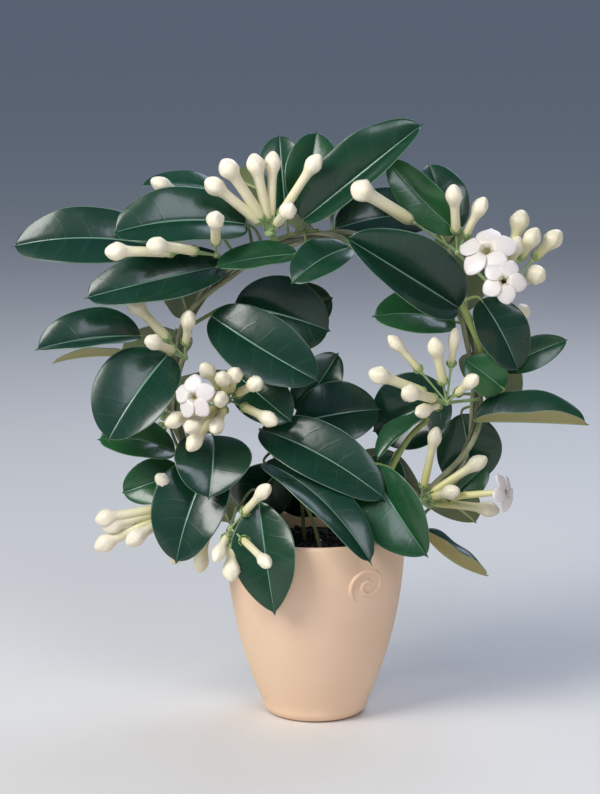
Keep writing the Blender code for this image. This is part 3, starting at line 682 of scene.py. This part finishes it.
# One flat blade, unit long, each half unit wide, with an upper and an under face. Its UV map holds
# the place across it, from edge to edge, and along it, from stalk to point.
across_count = 2 * len(BLADE_COLUMNS)
row_places = [OVAL_END * (1 - math.cos(math.pi * i / BLADE_ROWS)) / 2 for i in range(BLADE_ROWS)]
row_places += [OVAL_END * 0.9985] + list(POINT_ROWS)
along_count = len(row_places) - 1
choose()
bpy.ops.mesh.primitive_grid_add(x_subdivisions=across_count, y_subdivisions=along_count, size=2,
                                calc_uvs=True)
blade = bpy.context.object
blade.name = "leaf_blade"
shares = []
for vert in blade.data.vertices:
    k = round((vert.co.x + 1) / 2 * across_count) - len(BLADE_COLUMNS)
    share = math.copysign(BLADE_COLUMNS[abs(k) - 1], k) if k else 0
    t = row_places[round((vert.co.y + 1) / 2 * along_count)]
    shares.append((share, t))
    vert.co = (share * outline(t), t, 0)
for loop, spot in zip(blade.data.loops, blade.data.uv_layers[0].data):
    share, t = shares[loop.vertex_index]
    spot.uv = ((share + 1) / 2, t)
weld(blade, 0.0001)
thicken(blade, 2, 0)

# Upper face of the leaf: a thick dark skin with a clear wax layer, so it mirrors the sky softly.
# Its midrib is pale, its edge has a thin pale line, and its side veins barely show.
upper_skin, tree, shader = new_finish("waxed_leaf_upper_skin", "17402F", 0.3)
VEIN_PAIRS = 12
VEIN_SLANT = 1.5
place = add(tree, "TexCoord", {}).outputs
uv = add(tree, "SeparateXYZ", {"Vector": place["UV"]}).outputs
off = add(tree, "Math", {0: uv["X"], 1: 0.5}, operation="SUBTRACT")
side = add(tree, "Math", {0: off}, operation="ABSOLUTE")
thin = add(tree, "MapRange", {"Value": uv["Y"], "To Min": 0.017, "To Max": 0.006})
rib = add(tree, "Math", {0: side, 1: thin}, operation="DIVIDE")
rib_line = add(tree, "MapRange", {"Value": rib, "From Min": 0.5, "From Max": 1.1, "To Min": 1, "To Max": 0})
edge_line = add(tree, "MapRange", {"Value": side, "From Min": 0.487, "From Max": 0.497})
rows = add(tree, "Math", {0: uv["Y"], 1: VEIN_PAIRS}, operation="MULTIPLY")
slant = add(tree, "Math", {0: side, 1: -2 * VEIN_SLANT}, operation="MULTIPLY")
straight = add(tree, "Math", {0: rows, 1: slant})
green, patch = mottle(tree, place, 28, 4, "06281B", "0F3C29")
stray = add(tree, "Math", {0: patch, 1: 1.6}, operation="MULTIPLY")
phase = add(tree, "Math", {0: straight, 1: stray})
wave = add(tree, "Math", {0: phase, 1: 1}, operation="PINGPONG")
vein = add(tree, "MapRange", {"Value": wave, "From Max": 0.14, "To Min": 1, "To Max": 0})
fade = add(tree, "MapRange", {"Value": side, "From Min": 0.3, "From Max": 0.46, "To Min": 1, "To Max": 0})
side_vein = add(tree, "Math", {0: vein, 1: fade}, operation="MULTIPLY")
tone = add(tree, "Attribute", {}, attribute_name="leaf_tone")
toned = add(tree, "Mix", {0: tone.outputs["Fac"], 6: green, 7: "2E6A35"}, data_type="RGBA")
faint = add(tree, "Math", {0: side_vein, 1: 0.1}, operation="MULTIPLY")
veined = add(tree, "Mix", {0: faint, 6: toned, 7: "3F6F55"}, data_type="RGBA")
ribbed = add(tree, "Mix", {0: rib_line, 6: veined, 7: "6B927C"}, data_type="RGBA")
edge_share = add(tree, "Math", {0: edge_line, 1: 0.6}, operation="MULTIPLY")
edged = add(tree, "Mix", {0: edge_share, 6: ribbed, 7: "86A887"}, data_type="RGBA")
dull = add(tree, "MapRange", {"Value": patch, "To Min": 0.2, "To Max": 0.38})
# Soft dents a centimetre or so across break up the shine, and the side veins lie a little sunk.
DENT_SPACING = 16 * MM
dent = add(tree, "TexNoise", {"Vector": place["Object"], "Scale": 1 / DENT_SPACING, "Detail": 2})
dented = add(tree, "Bump", {"Height": dent, "Strength": 0.35, "Distance": 1.2 * MM})
sunk = add(tree, "Bump", {"Height": side_vein, "Strength": 0.3, "Distance": 0.16 * MM, "Normal": dented},
           invert=True)
feed(shader, {"Base Color": edged, "Roughness": dull, "Normal": sunk, "Coat Weight": 0.25,
              "Specular IOR Level": 0.42, "Coat Roughness": 0.12})

# Under face of the leaf: matt olive green, with a paler keel. On some leaves it is painted a pale
# tan, which is painted light: it stands in for light bounced up onto the leaf and shining through it.
under_skin, tree, shader = new_finish("matt_leaf_under_skin", "6F7A4C", 0.6)
place = add(tree, "TexCoord", {}).outputs
uv = add(tree, "SeparateXYZ", {"Vector": place["UV"]}).outputs
off = add(tree, "Math", {0: uv["X"], 1: 0.5}, operation="SUBTRACT")
side = add(tree, "Math", {0: off}, operation="ABSOLUTE")
keel = add(tree, "MapRange", {"Value": side, "From Min": 0.02, "From Max": 0.04, "To Min": 1, "To Max": 0})
olive, _ = mottle(tree, place, 40, 4, "4E5C36", "6C7549")
# Painted light: pale tan mixed into the under face by each leaf's share, in place of light bounced up onto
# it and shining through it.
painted_bounce_share = add(tree, "Attribute", {}, attribute_name="under_painted_bounce_light")
bounce_lit_olive = add(tree, "Mix", {0: painted_bounce_share.outputs["Fac"], 6: olive, 7: "A0985F"}, data_type="RGBA")
keeled = add(tree, "Mix", {0: keel, 6: bounce_lit_olive, 7: "A3AC7A"}, data_type="RGBA")
feed(shader, {"Base Color": keeled})

# Green shoots and leaf stalks: soft new bark, olive green, slightly shiny.
green_bark, tree, shader = new_finish("green_shoot_bark", "64753F", 0.5)
place = add(tree, "TexCoord", {}).outputs
tint, _ = mottle(tree, place, 150, 4, "4C6136", "86905A")
fresh = add(tree, "Attribute", {}, attribute_name="leaf_tone")
toned = add(tree, "Mix", {0: fresh.outputs["Fac"], 6: tint, 7: "A2B36A"}, data_type="RGBA")
feed(shader, {"Base Color": toned})
for skin in (upper_skin, under_skin):
    blade.data.materials.append(skin)
for face in blade.data.polygons:
    face.material_index = 1 if face.center.z < -0.5 else 0


def set_share(item, name, value):
    """Give every point of a piece the same value of an attribute that its finish reads."""
    found = item.data.attributes.new(name, "FLOAT", "POINT")
    found.data.foreach_set("value", [value] * len(item.data.vertices))


def leaf_axes(row):
    """Where a leaf's blade starts, the way it points, and the way up from its upper face."""
    right, front, up, heading, lean, _, _, looks_right, looks_up = row[:9]
    along = direction(heading, lean)
    look = facing(looks_right, looks_up)
    return point(right, front, up), along, (look - along * look.dot(along)).normalized()


def lay_leaf(row, chance):
    """One leaf's blade, its flat pattern folded, arched and waved into its place."""
    start, along, above = leaf_axes(row)
    across = above.cross(along)
    length, width, arch = row[5] * MM, row[6] * MM, row[9] * MM
    fold, tone = math.radians(row[10]), row[11]
    taper, tan = row[12:] + (TAPER, 0)[len(row) - 12:]
    bow = chance.uniform(-MOST_BOW, MOST_BOW) * length
    roll = math.radians(chance.uniform(-MOST_ROLL, MOST_ROLL))
    droop = chance.uniform(0, MOST_DROOP) * length
    waves = [(chance.uniform(1.1, 2.2), chance.uniform(0, math.tau), chance.uniform(0.012, 0.03) * width)
             for _ in range(2)]
    made = copy_of(blade, "leaf")
    for vert in made.data.vertices:
        x, t, face = vert.co
        wide = outline(t)
        share = x / wide if wide else 0
        half = width / 2 * outline(t, taper)
        ends = math.sin(math.pi * t)
        turns, phase, height = waves[share > 0]
        edge_wave = height * share ** 2 * ends * math.sin(math.tau * turns * t + phase)
        rise = half * math.sin(fold) * abs(share) * (1.3 - 0.3 * share ** 2)
        near_rib = math.exp(-(share * half / MIDRIB_WIDTH) ** 2)
        groove = MIDRIB_GROOVE if face > 0 else MIDRIB_GROOVE + MIDRIB_KEEL * (1 - t)
        lift = rise + edge_wave - groove * near_rib * min(1, 12 * ends)
        lift += face * BLADE_THICK / 2 * (1 - 0.5 * share ** 4) - droop * t ** 3
        reach = share * half * math.cos(fold)
        turn = roll * (t - 0.3)
        sideways = across * math.cos(turn) + above * math.sin(turn)
        upwards = above * math.cos(turn) - across * math.sin(turn)
        hump = 4 * t * (1 - t)
        middle = start + along * (length * t) + across * (bow * hump) + above * (arch * hump)
        vert.co = middle + sideways * reach + upwards * lift
    set_share(made, "leaf_tone", tone)
    # Painted light: this leaf's share of pale tan on its under face, in place of bounced light.
    set_share(made, "under_painted_bounce_light", tan)
    return made


def leaf_stalk(row, path):
    """The points and radii of a leaf's stalk, from its shoot on into the blade's midrib."""
    start, along, above = leaf_axes(row)
    length, arch = row[5], row[9]
    entry = (along + above * (4 * arch / length)).normalized()
    spot = nearest(path, start - entry * 8 * MM)
    reach = (start - spot).length
    leave = ((start - entry * reach * 0.4) - spot).normalized()
    run = bezier(spot, spot + leave * reach * 0.3, start - entry * reach * 0.35, start, 12)
    run.append(start + entry * 3 * MM)
    count = len(run) - 1
    radii = [STALK_RADIUS * (1.15 - 0.35 * i / count + 0.35 * math.exp(-i / 1.5)) for i in range(count)]
    return run, radii + [0.3 * STALK_RADIUS]


chance = random.Random(21)
shoot_paths = {}
for node, (route, leaves) in SHOOTS.items():
    path = shoot_path(route)
    shoot_paths[node] = path
    count = len(path) - 1
    stout = NEW_GROWTH.get(node, 1)
    runs = [(path, [SHOOT_RADIUS * stout * (1 - 0.25 * i / count) for i in range(count + 1)])]
    runs += [leaf_stalk(row, path) for row in leaves]
    stalks = sweep("leafy_" + node, runs, 10)
    stalks.data.materials.append(green_bark)
    set_share(stalks, "leaf_tone", stout - 1)
    join(stalks, [lay_leaf(row, chance) for row in leaves])
    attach(stalks, "root")
    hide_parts(node)
bpy.data.objects.remove(blade)


# Flower heads
# Each is an umbel: a short green stalk whose knob carries several flowers. A flower is a waxy
# white tube in a small green cup, closed in a pointed head or open in a star of five petals.
HEAD_LENGTH = 16 * MM
TUBE_LENGTH = 34 * MM
STAR_RADIUS = 18.5 * MM
STAR_DROP = 4.5 * MM
PETALS = 5
FLOWER_SIDES = 25
# Below this level a flower is green stalk, and above it wax.
GREEN_LEVEL = 0.97
# Girth of a closed flower, as a share of its rings': SHORT_GIRTH at SHORT_LENGTH, and GIRTH_RISE
# more for each metre over it, up to MOST_GIRTH.
SHORT_LENGTH = 42 * MM
SHORT_GIRTH = 0.86
GIRTH_RISE = 8
MOST_GIRTH = 1.04
# The least share of its length that is stalk on a closed flower, and on one with its own tube.
LEAST_STALK = 0.28
LEAST_OWN_STALK = 0.12
OPEN_TUBE_SHARE = 0.7
FLOWER_BOW = 0.05
# Radii in mm along an umbel's stalk, from its shoot to the far side of its knob.
STALK_RADII = (1.6, 1.2, 1.2, 1.4, 2.2, 2.3, 1.2)
# Rings of a closed flower: its level and radius in mm. Level 0 to 1 is its stalk, 1 to 2 its tube
# and 2 to 3 its head.
CLOSED_RINGS = (
    (-0.02, 0.9), (0.1, 0.75), (0.5, 0.75), (0.88, 0.9), (0.95, 1.3), (1, 2.2), (1.05, 3), (1.12, 3.35),
    (1.25, 3.6), (1.45, 3.5), (1.65, 3.4), (1.82, 3.45), (1.94, 3.6), (2, 3.9), (2.08, 4.3), (2.18, 5),
    (2.28, 5.6), (2.38, 6.05), (2.47, 6.25), (2.56, 6.15), (2.65, 5.75), (2.74, 5.05), (2.82, 4.2),
    (2.89, 3.3), (2.95, 2.3), (2.985, 1.4), (3, 0.6))
# Rings of an open flower's stalk and tube, which turn back down into the throat.
OPEN_RINGS = (
    (-0.02, 0.9), (0.1, 0.75), (0.5, 0.75), (0.88, 0.9), (0.95, 1.3), (1, 2.1), (1.05, 2.9), (1.12, 3.3),
    (1.3, 3.4), (1.5, 3.2), (1.7, 3.1), (1.86, 3.2), (1.95, 3.6), (2, 4.3), (1.985, 3.9), (1.93, 2.9),
    (1.85, 2.2), (1.6, 1.8))
# Rings of the green cup: height above the tube's foot and radius, in mm. Its rim is five points.
CUP_RINGS = ((-0.4, 1.3), (0.6, 2.7), (2, 3.6), (2.8, 3.8))

# Umbels whose stalk is stouter than the others', with its girth as a share of theirs.
STOUT_STALKS = {"umbel_top": 1.9}

# An umbel: the shoot that bears it, the point where its flower stalks meet (right, front, up, in
# mm), its closed and its open flowers, each with the way it points (as a leaf does) and its
# length to the tip in mm, how green and how pink its flowers are, from 0 to 1. Some closed flowers
# also have the length of their tube in mm and their girth, as a share of the rings'. An open one has
# the turn of its star in degrees, where 0 has a petal on top, and its size as a share.
UMBELS = {
    "umbel_top": ("shoot_top", (-32, 16, 353), [
        (-49, 18, 62, 36, 1.05), (-32, 18, 65, 38, 1.1), (-12, 10, 58, 34, 1.05), (2, 2, 57, 34, 0.92),
        (32, 13, 67, 38, 0.95), (34, 60, 53)], [], 0.1, 0),
    "umbel_top_left": ("shoot_top_left", (-70, 27, 338), [
        (-76, 38, 60), (-86, 18, 80), (2, 55, 58)], [], 0.15, 0),
    "umbel_behind_left": ("shoot_top_left", (-79, -8, 368), [(-61, 13, 44)], [], 0.2, 0),
    "umbel_top_right": ("shoot_top_right", (100, 10, 338), [
        (-56, 21, 97, 38, 1.3), (-5, 18, 52), (25, 13, 45)], [], 0.2, 0),
    "umbel_right": ("shoot_top_right", (131, 10, 308), [
        (15, -10, 62, 12, 1.12), (14, 20, 47, 10, 1), (28, 4, 54, 10, 1), (44, -5, 62, 12, 1.05),
        (52, 46, 49, 12, 1.1)], [(-20, 44.5, 55, 4, 1.14), (-7, 72.6, 56, -25, 0.86)], 0.75, 0.3),
    "umbel_right_low": ("shoot_right_low", (93, 22, 232), [
        (-40, 12, 67, 20, 0.75), (-65, 21, 66), (-64, 53, 60), (-12, 20, 54), (6, 0, 54, 12, 0.7),
        (-97, 50, 36, 12, 0.8), (40, 40, 40, 12, 0.8)], [], 0.35, 0),
    "umbel_bottom_right": ("shoot_bottom_right", (75, 20, 160), [
        (11, 10, 58, 32, 0.8), (54, 8, 58, 36, 0.88), (61, 43, 40), (95, 10, 57, 34, 0.9)],
        [(76, 31, 71, 20, 0.76)], 0.75, 0.7),
    "umbel_left_inner": ("shoot_left_middle", (-62, 28, 235), [
        (-29, 41, 46), (-7, 58, 47), (-30, 78, 50), (14, 52, 46), (50, 50, 48), (108, 39, 47),
        (-105, 34, 54), (-117, 54, 53), (-150, 68, 46), (-138, 37, 51)],
        [(-67, 60, 51, 8, 0.86)], 0.45, 0.2),
    "umbel_left": ("shoot_left", (-93, 18, 264), [
        (-42, 6, 59), (-54, 48, 46), (7, 30, 42)], [], 0.25, 0),
    "umbel_bottom_left": ("shoot_bottom_left", (-89, 14, 156), [
        (-97, 10, 70), (-103, 9, 66), (-113, 9, 76), (-116, 28, 57), (-42, 32, 42)], [], 0.3, 0.3),
    "umbel_under_left": ("shoot_bottom_left", (-75, 4, 149), [(-142, 5, 48), (-168, 13, 45)], [], 0.5, 0),
    "umbel_front": ("shoot_bottom_left", (-60, 54, 148), [
        (38, 25, 50, 18, 0.8), (-150, 52, 33, 10, 0.8), (178, 36, 40, 12, 1),
        (115, 62, 66, 30, 0.75)], [], 0.3, 0),
    "umbel_back_top": ("shoot_back_top", (12, -24, 362), [
        (-25, -40, 52), (0, -60, 48), (30, -35, 54), (10, -20, 50)], [(-60, -70, 46, 0, 1)], 0.3, 0.1),
    "umbel_back_left": ("shoot_back_left_low", (-104, -22, 206), [
        (-48, -8, 66), (-50, -60, 50), (-110, -55, 48)], [], 0.3, 0),
    "umbel_back_right": ("shoot_back_right", (124, -22, 270), [
        (60, -45, 54), (90, -60, 48), (30, -65, 50)], [], 0.4, 0),
}

# Green parts of a flower head: smooth pale green skin with a faint bloom.
green_stalk, tree, shader = new_finish("flower_stalk_skin", "8FB07A", 0.5)
place = add(tree, "TexCoord", {}).outputs
tint, _ = mottle(tree, place, 120, 3, "7B9A5E", "A9BD84")
feed(shader, {"Base Color": tint, "Subsurface Weight": 0.1, "Subsurface Radius": (0.5, 1, 0.3),
              "Subsurface Scale": 1.5 * MM})

# Waxy petal: thick creamy white flesh that light enters a little. It is yellow-green at the
# tube's foot, and greener all over on young flowers.
wax, tree, shader = new_finish("waxy_petal_flesh", "F3EADB", 0.42)
place = add(tree, "TexCoord", {}).outputs
uv = add(tree, "SeparateXYZ", {"Vector": place["UV"]}).outputs
young = add(tree, "Attribute", {}, attribute_name="young")
pinkness = add(tree, "Attribute", {}, attribute_name="pink")
cream, patch = mottle(tree, place, 150, 3, "EFE3C8", "FAF3E0")
blush = add(tree, "Mix", {0: pinkness.outputs["Fac"], 6: cream, 7: "DFD6D2"}, data_type="RGBA")
up_tube = add(tree, "MapRange", {"Value": uv["Y"], "From Min": 0.34, "From Max": 0.8, "To Min": 1,
                                 "To Max": 0})
green_share = add(tree, "MapRange", {"Value": young.outputs["Fac"], "To Min": 0.6, "To Max": 1})
tube_green = add(tree, "Math", {0: up_tube, 1: green_share}, operation="MULTIPLY")
all_green = add(tree, "Math", {0: young.outputs["Fac"], 1: 0.45}, operation="MULTIPLY")
greenest = add(tree, "Math", {0: tube_green, 1: all_green})
fresh = add(tree, "Mix", {0: greenest, 6: blush, 7: "C9C583"}, data_type="RGBA")
relief = add(tree, "Bump", {"Height": patch, "Strength": 0.25, "Distance": 0.3 * MM})
feed(shader, {"Base Color": fresh, "Normal": relief, "Subsurface Weight": 0.25,
              "Subsurface Radius": (1, 0.8, 0.5), "Subsurface Scale": 2 * MM, "Coat Weight": 0.15,
              "Coat Roughness": 0.3})


def level_map(item, low, high):
    """Give a flower's part a UV map whose V is its level, from low to high of its heights."""
    layer = item.data.uv_layers.active or item.data.uv_layers.new(name="UVMap")
    heights = [v.co.z for v in item.data.vertices]
    bottom, top = min(heights), max(heights)
    for loop, spot in zip(item.data.loops, layer.data):
        share = (heights[loop.vertex_index] - bottom) / (top - bottom)
        spot.uv = (0.5, (low + (high - low) * share) / 3)


def flower_part(name, rings, high):
    """A flower's body turned ring by ring, its stalk green and the rest waxy."""
    made = turn_up(name, [(radius * MM, level) for level, radius in rings], FLOWER_SIDES)
    made.data.materials.append(green_stalk)
    made.data.materials.append(wax)
    for face in made.data.polygons:
        face.material_index = 1 if face.center.z > GREEN_LEVEL else 0
    level_map(made, 0, high)
    made.data.shade_smooth()
    return made


closed_flower = flower_part("closed_flower", CLOSED_RINGS, 3)
open_flower = flower_part("open_flower", OPEN_RINGS, 2)

# The five petals of a closed head overlap in a twist, which leaves five spiral folds on it.
FOLD_DEPTH = 0.16
FOLD_TWIST = 0.9
for vert in closed_flower.data.vertices:
    level = vert.co.z - 2
    if level > 0.05:
        turn = PETALS * math.atan2(vert.co.y, vert.co.x) / math.tau + FOLD_TWIST * level
        step = turn - math.floor(turn) - 0.5
        strength = min(1, level / 0.5)
        vert.co.xy *= 1 + FOLD_DEPTH * strength * step

# The cup's wall is drawn out in five points above this height.
CUP_SHOULDER = 2.5 * MM
green_cup = turn_up("green_cup", [(radius * MM, height * MM) for height, radius in CUP_RINGS], 20)
for vert in green_cup.data.vertices:
    if vert.co.z > CUP_SHOULDER:
        tip = 0.5 + 0.5 * math.cos(PETALS * math.atan2(vert.co.y, vert.co.x))
        vert.co.z += (3.2 * tip - 1.2) * MM
        vert.co.xy *= 0.94 + 0.1 * tip
# The cup's two flat ends come off, and its wall gets its thickness.
CUP_THICK = 0.35 * MM
choose(green_cup)
bpy.ops.object.mode_set(mode="EDIT")
bpy.ops.mesh.select_all(action="DESELECT")
bpy.ops.object.mode_set(mode="OBJECT")
for face in green_cup.data.polygons:
    face.select = len(face.vertices) > 4
bpy.ops.object.mode_set(mode="EDIT")
bpy.ops.mesh.delete(type="ONLY_FACE")
bpy.ops.object.mode_set(mode="OBJECT")
thicken(green_cup, CUP_THICK, 1)
green_cup.data.materials.append(green_stalk)
level_map(green_cup, 1, 1.1)

# One petal of an open star: broad and rounded, each with one side over its neighbour's. Its grid
# is bent from the throat out to the star's edge.
PETAL_GRID = 12
PETAL_HALF = 7.7 * MM
PETAL_TILT = math.radians(6)
PETAL_WIDEST = 0.5
PETAL_THICK = 0.45 * MM
PETAL_ROOT = 2.2 * MM
PETAL_CUPPING = 1.3 * MM
THROAT_DEPTH = 2.6 * MM
choose()
bpy.ops.mesh.primitive_grid_add(x_subdivisions=PETAL_GRID, y_subdivisions=PETAL_GRID, size=2,
                                calc_uvs=True)
petal = bpy.context.object
petal.name = "petal"
for vert in petal.data.vertices:
    share, t = vert.co.x, math.sin(math.pi / 4 * (vert.co.y + 1))
    reach = PETAL_ROOT + (STAR_RADIUS - PETAL_ROOT) * t
    if t > PETAL_WIDEST:
        wide = max(0, 1 - ((t - PETAL_WIDEST) / (1 - PETAL_WIDEST)) ** 2) ** 0.62
    else:
        wide = 0.24 + 0.76 * math.sin(math.pi / 2 * t / PETAL_WIDEST)
    half = PETAL_HALF * wide
    height = -THROAT_DEPTH * (1 - min(1, t / 0.18)) ** 2 - STAR_DROP * t ** 2
    height += share * half * math.tan(PETAL_TILT) * min(1, t / 0.25) - PETAL_CUPPING * share ** 2 * t
    vert.co = (share * half, reach, height)
for spot in petal.data.uv_layers[0].data:
    spot.uv = (0.5, (2 + spot.uv.y) / 3)
weld(petal, 0.01 * MM)
thicken(petal, PETAL_THICK, 0)
petal.data.materials.append(wax)


def flower_line(hub, heading, lean, length):
    """The point of a flower's axis at a reach from its hub: nearly straight, bowed up a little."""
    along = direction(heading, lean)
    lift = Vector((0, 0, 1)) - along * along.z
    return lambda reach: hub + along * reach + lift * (FLOWER_BOW * reach * (1 - reach / length))


def lay_flower(hub, flower, is_open, youth, pink, chance):
    """The parts of one flower, bent along its axis into their place."""
    heading, lean, length = flower[:3]
    length *= MM
    line = flower_line(hub, heading, lean, length)
    along = direction(heading, lean)
    if is_open:
        spin, plump = math.radians(flower[3]), flower[4]
        first = (Vector((0, 0, 1)) - along * along.z).normalized()
        stations = (0, length - OPEN_TUBE_SHARE * length, length, length)
    else:
        spin = chance.uniform(0, math.tau)
        first = along.orthogonal().normalized()
        top = length - HEAD_LENGTH
        if flower[3:]:
            tube, plump, least = flower[3] * MM, flower[4], LEAST_OWN_STALK
        else:
            tube, least = TUBE_LENGTH, LEAST_STALK
            plump = min(MOST_GIRTH, SHORT_GIRTH + (length - SHORT_LENGTH) * GIRTH_RISE)
        stations = (0, max(least * length, top - tube), top, length)
    across = first * math.cos(spin) + along.cross(first) * math.sin(spin)
    other = along.cross(across)
    parts = []

    def lay_part(pattern, place, young=youth, pinkness=pink):
        made = copy_of(pattern, pattern.name)
        for vert in made.data.vertices:
            vert.co = place(vert.co)
        set_share(made, "young", young)
        set_share(made, "pink", pinkness)
        parts.append(made)

    def by_level(co):
        step = min(2, max(0, int(co.z)))
        low, high = stations[step], stations[step + 1]
        reach = low + (high - low) * (co.z - step)
        girth = plump if co.z > 1 else 1
        return line(reach) + (across * co.x + other * co.y) * girth

    lay_part(open_flower if is_open else closed_flower, by_level)
    lay_part(green_cup, lambda co: line(stations[1] + co.z) + across * co.x + other * co.y)
    if is_open:
        for i in range(PETALS):
            a = math.tau * i / PETALS
            out = across * math.cos(a) + other * math.sin(a)
            beside = other * math.cos(a) - across * math.sin(a)
            lay_part(petal, lambda co: line(length) + (out * co.y + beside * co.x + along * co.z) * plump,
                     0.1 * youth, 1)
    return parts


chance = random.Random(5)
for node, (bearer, hub, closed, opened, youth, pink) in UMBELS.items():
    centre = point(*hub)
    spot = nearest(shoot_paths[bearer], centre)
    away = (centre - spot).normalized()
    start = spot + away * SHOOT_RADIUS * 0.8
    stalk = [start, start + away * 2 * MM, start.lerp(centre, 0.6), centre - away * 2 * MM, centre,
             centre + away * 1.4 * MM, centre + away * 2.4 * MM]
    stout = STOUT_STALKS.get(node, 1)
    umbel = sweep(node + "_flowers", [(stalk, [r * stout * MM for r in STALK_RADII])], 12)
    umbel.data.materials.append(green_stalk)
    parts = []
    for is_open, flowers in ((False, closed), (True, opened)):
        for flower in flowers:
            parts += lay_flower(centre, flower, is_open, youth, pink, chance)
    join(umbel, parts)
    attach(umbel, "root")
    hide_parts(node)
for pattern in (closed_flower, open_flower, green_cup, petal):
    bpy.data.objects.remove(pattern)
